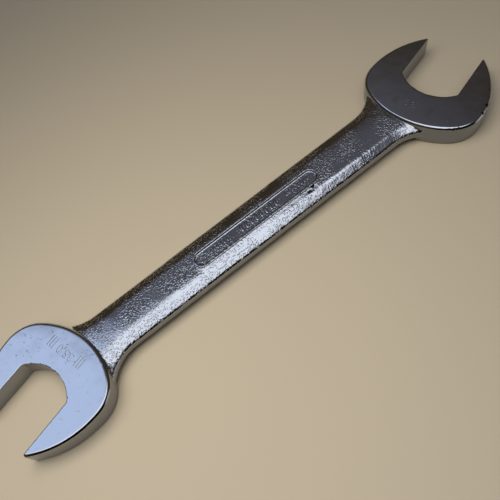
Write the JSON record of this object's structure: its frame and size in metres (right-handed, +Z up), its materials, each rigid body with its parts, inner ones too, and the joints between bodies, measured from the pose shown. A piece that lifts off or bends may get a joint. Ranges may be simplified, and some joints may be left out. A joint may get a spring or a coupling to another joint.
{
  "type": "double open-ended spanner",
  "caption": "Forged, chrome-plated spanner with an angled open jaw at each end, a crowned flat shank and raised-rim panels on both faces.",
  "frame": {"origin": "centre of the bounding box in plan, on the plane the two heads rest on", "axes": "+X along the shank from the small jaw to the large jaw, +Z up out of the front face, +Y across the shank to the side the large jaw leans to"},
  "size_m": [0.3712, 0.0798, 0.0148],
  "materials": {
    "polished_chrome": "bright chrome plate over ground flat faces",
    "forged_chrome": "bright chrome plate over an as-forged, faintly pebbled surface"
  },
  "bodies": {
    "root": {"small_head": "polished_chrome", "large_head": "polished_chrome", "shank": "forged_chrome", "front_panel": "forged_chrome", "front_marks": "forged_chrome", "back_panel": "forged_chrome", "back_marks": "forged_chrome"}
  },
  "joints": []
}
